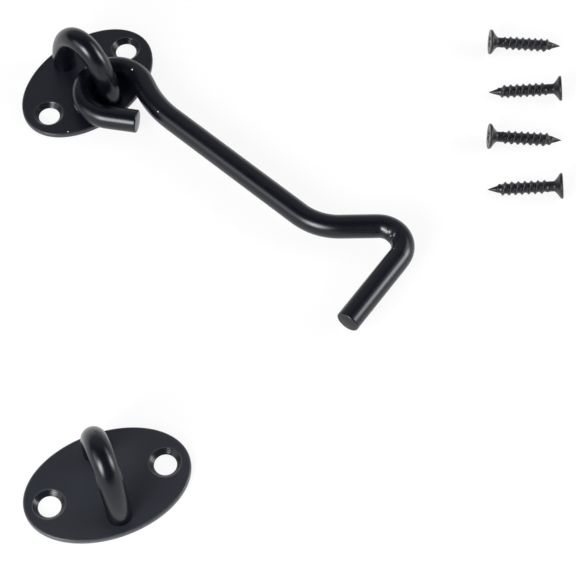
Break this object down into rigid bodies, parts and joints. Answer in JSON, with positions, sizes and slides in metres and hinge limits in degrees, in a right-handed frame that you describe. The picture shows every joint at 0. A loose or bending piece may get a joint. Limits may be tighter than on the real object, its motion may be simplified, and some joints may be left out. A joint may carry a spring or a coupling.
{
  "type": "hook and eye latch",
  "caption": "Gate and door latch: a cranked black rod hook swings on a staple fixed to an oval plate, its tip enters the staple of a like eye plate, and countersunk wood screws fix both.",
  "frame": {"origin": "centre of the hook plate's back face", "axes": "+X along the hook plate's long axis, +Y from the leg that the hook hangs on towards the other leg, +Z away from the surface that the plates are screwed to"},
  "size_m": [0.2025, 0.1396, 0.0218],
  "materials": {
    "plate_paint": "satin black powder paint with a slight blue cast",
    "staple_paint": "satin black powder paint",
    "hook_paint": "satin black powder paint, semi-gloss along the rod",
    "screw_finish": "dull black oxide and paint"
  },
  "bodies": {
    "base": {"hook_plate": "plate_paint", "hook_staple": "staple_paint", "eye_plate": "plate_paint", "eye_staple": "staple_paint", "screw_1": "screw_finish", "screw_2": "screw_finish", "screw_3": "screw_finish", "screw_4": "screw_finish"},
    "hook": {"hook": "hook_paint"}
  },
  "joints": [
    {"name": "hook_swing", "type": "hinge", "parent": "base", "child": "hook", "pos_m": [0, -0.00901, 0.0057], "axis": [0, 0, 1], "range_deg": [-148, 140]}
  ]
}
